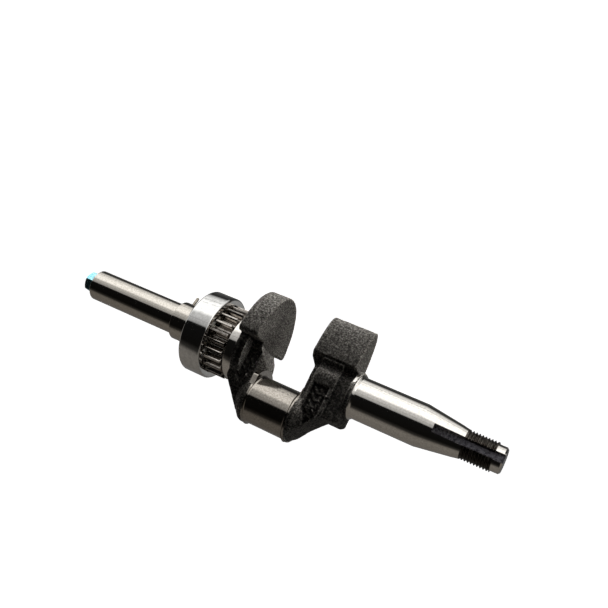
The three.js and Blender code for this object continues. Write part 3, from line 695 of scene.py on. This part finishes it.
def collarPin():
    # A short rod across the shaft, turned about the line that leans from +Y by its turn.
    low, high, radius = pinInCollar["from"], pinInCollar["tip"], pinInCollar["radius"]
    profile = softProfile([(low, radius * 0.7), (low + 0.3, radius),
                           (high - 0.6, radius), (high, radius * 0.45)], 0.15)
    around = np.linspace(0, 2 * math.pi, pinInCollar["sides"], endpoint=False)
    along = np.repeat(profile[:, :1], pinInCollar["sides"], 1)
    side, other = profile[:, 1:] * np.cos(around), profile[:, 1:] * np.sin(around)
    lean = math.radians(pinInCollar["turn"])
    points = np.stack([pinInCollar["station"] + startX + side,
                       along * math.cos(lean) - other * math.sin(lean),
                       along * math.sin(lean) + other * math.cos(lean)], -1)
    return gridMesh("pin_in_collar", points[:, ::-1])


# Millimetres. The crown's rings are (depth below the head's top, furthest reach), dished in the middle.
bolt = {"acrossFlats": 12.0, "shank": 3.9, "headGap": 0.3, "flatsCut": 0.05,
        "crown": ((0.9, 3.6), (0.55, 4.2), (0.0, 4.7), (0.0, 5.55), (0.12, 5.75), (0.35, 6.1),
                  (0.6, 6.45), (0.9, 6.8), (1.3, 7.2))}


def takeOffBolt():
    # Hexagonal head: the outline across the axis is half the flats' width over the cosine of the angle from
    # the flat's middle, never outside the cone that breaks the crown's corners.
    angle = np.linspace(0, 2 * math.pi, 240, endpoint=False)
    flat = (angle + math.pi / 6) % (math.pi / 3) - math.pi / 6
    hexagon = bolt["acrossFlats"] / 2 / np.cos(flat) - bolt["flatsCut"]
    headTop, headEnd = boltLow[0] / mm, shaftLow[0] / mm - bolt["headGap"]
    shank, shankEnd = bolt["shank"], boltHigh[0] / mm
    rows = [(headTop + deep, np.minimum(hexagon, reach)) for deep, reach in bolt["crown"]]
    rows += [(headEnd - 0.5, hexagon), (headEnd - 0.2, hexagon - 0.08), (headEnd, hexagon - 0.4)]
    rows += [(x, np.full_like(angle, reach))
             for x, reach in ((headEnd, shank), (shankEnd - 1, shank), (shankEnd, shank - 1))]
    points = np.stack([np.stack([np.full_like(angle, x), r * np.cos(angle), r * np.sin(angle)], -1)
                       for x, r in rows])
    return gridMesh("bolt_take_off", points, sharp=25)


dress(timingGear(), gearSteel, "crankshaft", "timing_gear")
dress(collarPin(), cageSteel, "crankshaft", "collar_pin")
dress(takeOffBolt(), zincPlate, "crankshaft", "pto_bolt")
print("gear, pin and bolt made")


# ---- floor, light and camera
def palePlane():
    # A plain pale floor just under the lowest point; it shows white and adds nothing to the reflections.
    size, low = 6.0, cadBox[0][2] - 0.001
    corners = np.array([(-1, -1, 0), (1, -1, 0), (1, 1, 0), (-1, 1, 0)]) * size + (0, 0, low)
    mesh = bpy.data.meshes.new("floor")
    mesh.from_pydata(corners.tolist(), [], [[0, 1, 2, 3]])
    floor = bpy.data.objects.new("floor", mesh)
    bpy.context.collection.objects.link(floor)
    material = bpy.data.materials.new("pale_floor")
    material.use_nodes = True
    shader = material.node_tree.nodes["Principled BSDF"]
    shader.inputs["Base Color"].default_value = (0.9, 0.9, 0.9, 1)
    shader.inputs["Roughness"].default_value = 1.0
    shader.inputs["Specular IOR Level"].default_value = 0.0
    shader.inputs["Emission Color"].default_value = (1, 1, 1, 1)
    shader.inputs["Emission Strength"].default_value = 1.0
    mesh.materials.append(material)
    floor.visible_glossy = False
    floor.visible_diffuse = False


# Each stop is (degrees about the shaft from +Y towards +Z, brightness). Stops over -Y take the warm tint.
# lit's strength falls from square to leaning as a direction's X goes from 0 to leanBy.
light = {
    "mirrored": [(-180, 0.12), (-130, 0.1), (-100, 0.1), (-77, 0.2), (-50, 0.05), (-22, 0.012),
                 (-16, 0.3), (-5, 0.6), (4, 0.7), (6, 0.3), (8, 0.75), (18, 1.0), (20, 0.6), (22, 1.0),
                 (50, 1.0), (60, 0.45), (74, 0.4), (75.5, 0.2), (77, 0.35), (87, 0.25), (90, 0.004),
                 (144, 0.003), (158, 0.02), (168, 0.1), (180, 0.12)],
    "lit": [(-180, 0.008), (-90, 0.004), (-30, 0.01), (-24, 1.0), (2, 1.0), (7, 0.08), (22, 0.06),
            (26, 0.0005), (150, 0.0002), (180, 0.008)],
    "warm": (1.0, 0.93, 0.85), "warmBeyond": 100, "mirroredStrength": 1.7,
    "square": 27.0, "leaning": 5.5, "leanBy": 0.6,
}


def studioWorld():
    # Light depends on the angle about the shaft: bright low over +Y, dark above, warm grey over -Y.
    # One ramp is what polished steel mirrors, the other is what lights the dull forging, and the camera
    # itself sees plain white.
    world = bpy.data.worlds.new("studio")
    bpy.context.scene.world = world
    world.use_nodes = True
    tree = world.node_tree
    tree.nodes.clear()
    direction = addNode(tree, "ShaderNodeTexCoord").outputs["Generated"]
    parts = addNode(tree, "ShaderNodeSeparateXYZ", links={0: direction})
    around = addNode(tree, "ShaderNodeMath", {"operation": "ARCTAN2"},
                     {0: parts.outputs["Z"], 1: parts.outputs["Y"]})
    share = addNode(tree, "ShaderNodeMapRange", {"From Min": -math.pi, "From Max": math.pi},
                    {"Value": around.outputs["Value"]})
    mirrored = addNode(tree, "ShaderNodeValToRGB", links={"Fac": share.outputs["Result"]})
    warm, plainWhite = np.array(light["warm"]), np.ones(3)
    tinted = [(angle, value * (warm if abs(angle) > light["warmBeyond"] else plainWhite))
              for angle, value in light["mirrored"]]
    rampStops(mirrored, [((angle + 180) / 360, (*colour, 1.0)) for angle, colour in tinted])
    lit = addNode(tree, "ShaderNodeValToRGB", links={"Fac": share.outputs["Result"]})
    rampStops(lit, [((angle + 180) / 360, value) for angle, value in light["lit"]])
    path = addNode(tree, "ShaderNodeLightPath")
    glossy = addNode(tree, "ShaderNodeBackground", {"Strength": light["mirroredStrength"]},
                     {"Color": mirrored.outputs["Color"]})
    # Faces that look to the threaded end stay darker: the light fades as its direction leans that way.
    leaning = addNode(tree, "ShaderNodeMapRange",
                      {"From Min": 0.0, "From Max": light["leanBy"],
                       "To Min": light["square"], "To Max": light["leaning"]},
                      {"Value": parts.outputs["X"]})
    diffuse = addNode(tree, "ShaderNodeBackground", links={"Color": lit.outputs["Color"],
                      "Strength": leaning.outputs["Result"]})
    both = addNode(tree, "ShaderNodeMixShader", links={0: path.outputs["Is Glossy Ray"],
                   1: diffuse.outputs["Background"], 2: glossy.outputs["Background"]})
    plain = addNode(tree, "ShaderNodeBackground", {"Strength": 1.0})
    plain.inputs["Color"].default_value = (1, 1, 1, 1)
    seen = addNode(tree, "ShaderNodeMixShader", links={0: path.outputs["Is Camera Ray"],
                   1: both.outputs["Shader"], 2: plain.outputs["Background"]})
    addNode(tree, "ShaderNodeOutputWorld", links={"Surface": seen.outputs["Shader"]})


# Directions are unit vectors, the place is in millimetres with X counted from the bearing's inner side, and
# focalShare is the focal length in widths of the frame.
view = {"right": (0.8617, 0.4384, -0.2554), "up": (-0.3412, 0.8733, 0.3478),
        "place": (212.6, -59.7, 420.5), "focalShare": 766.65 / 608, "sensor": 36.0}


def productCamera():
    # The camera looks against the cross product of its right and up directions.
    right, up = Vector(view["right"]), Vector(view["up"])
    back = right.cross(up)
    lens = bpy.data.cameras.new("camera")
    lens.sensor_width = view["sensor"]
    lens.lens = view["focalShare"] * view["sensor"]
    lens.clip_start, lens.clip_end = 0.01, 20.0
    camera = bpy.data.objects.new("camera", lens)
    bpy.context.collection.objects.link(camera)
    turn = Matrix((right, up, back)).transposed().to_4x4()
    x, y, z = view["place"]
    place = Vector(((x + startX) * mm, y * mm, z * mm))
    camera.matrix_world = Matrix.Translation(place) @ turn
    bpy.context.scene.camera = camera


palePlane()
studioWorld()
productCamera()
bpy.context.scene.view_settings.view_transform = "Standard"
print("floor, light and camera made")
